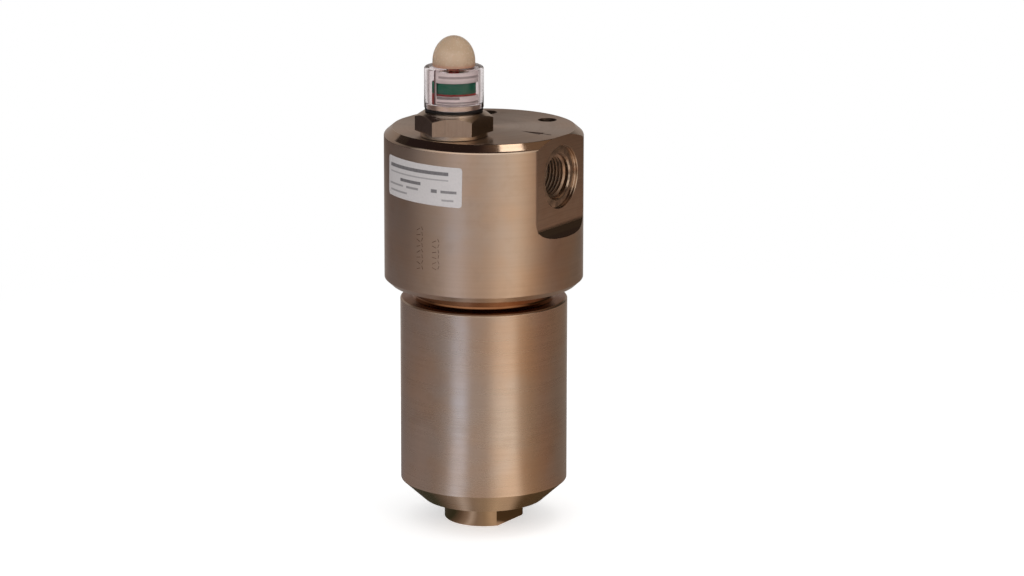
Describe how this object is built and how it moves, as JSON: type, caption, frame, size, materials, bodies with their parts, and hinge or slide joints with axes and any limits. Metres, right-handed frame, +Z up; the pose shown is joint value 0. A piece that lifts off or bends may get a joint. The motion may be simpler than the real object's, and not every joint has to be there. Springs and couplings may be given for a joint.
{
  "type": "hydraulic pressure filter",
  "caption": "Stainless in-line pressure filter: round head with side ports, screw-in bowl, pleated element and a clear clogging indicator on top.",
  "frame": {"origin": "centre of the wrench boss's underside, on the bowl's axis", "axes": "+Z up the bowl's axis, +X out of the inlet port, the indicator towards -Y"},
  "size_m": [0.095, 0.095, 0.24],
  "materials": {
    "bronzed_stainless": "turned stainless with a warm bronze tint and fine turning lines",
    "plain_stainless": "turned and milled stainless",
    "spring_steel": "drawn spring wire",
    "black_rubber": "matt",
    "white_plastic": "matt backup ring plastic",
    "filter_cloth": "pleated filter medium",
    "magnet": "plain sintered magnet",
    "clear_plastic": "clear moulded plastic",
    "white_foil": "printed foil",
    "red_plastic": "red moulded plastic",
    "green_plastic": "green band",
    "milky_plastic": "milky translucent plastic"
  },
  "bodies": {
    "head": {"filter_head": "bronzed_stainless", "element_top_cap": "plain_stainless", "element_seal": "black_rubber", "element_core": "plain_stainless", "element_pleats": "filter_cloth", "element_bottom_cap": "plain_stainless", "indicator_body": "plain_stainless", "indicator_flange_seal": "black_rubber", "indicator_shank_seal": "black_rubber", "barrel_seal": "black_rubber", "piston_retainer": "plain_stainless", "range_spring": "spring_steel", "indicator_barrel": "clear_plastic", "scale_foil": "white_foil", "button_spring": "spring_steel"},
    "bowl_seals": {"bowl_seal_ring": "black_rubber", "bowl_backup_ring": "white_plastic"},
    "bowl": {"bowl": "bronzed_stainless"},
    "piston": {"dp_piston": "plain_stainless", "piston_magnet": "magnet"},
    "drum": {"colour_drum": "red_plastic", "green_band": "green_plastic", "drum_magnet": "magnet"},
    "button": {"reset_button": "red_plastic"},
    "cap": {"protective_cap": "milky_plastic"}
  },
  "joints": [
    {"name": "bowl_travel", "type": "slide", "parent": "head", "child": "bowl_seals", "axis": [0, 0, -1], "range_m": [0, 0.02]},
    {"name": "bowl_turn", "type": "hinge", "parent": "bowl_seals", "child": "bowl", "pos_m": [0, 0, 0.11], "axis": [0, 0, -1], "range_deg": [0, 3600]},
    {"name": "piston_lift", "type": "slide", "parent": "head", "child": "piston", "axis": [0, 0, 1], "range_m": [0, 0.003], "stiffness_N_per_m": 3000, "springref_m": -0.002, "deforming": ["range_spring"]},
    {"name": "drum_lift", "type": "slide", "parent": "head", "child": "drum", "axis": [0, 0, 1], "range_m": [0, 0.0048]},
    {"name": "button_press", "type": "slide", "parent": "head", "child": "button", "axis": [0, 0, -1], "range_m": [0, 0.0025], "stiffness_N_per_m": 400, "springref_m": -0.002, "deforming": ["button_spring"]},
    {"name": "cap_lift", "type": "slide", "parent": "head", "child": "cap", "axis": [0, 0, 1], "range_m": [0, 0.02]}
  ],
  "couplings": [
    {"joint": "bowl_travel", "follows": "bowl_turn", "m_per_rad": 0.0003183},
    {"joint": "drum_lift", "follows": "piston_lift", "ratio": 1.6}
  ]
}
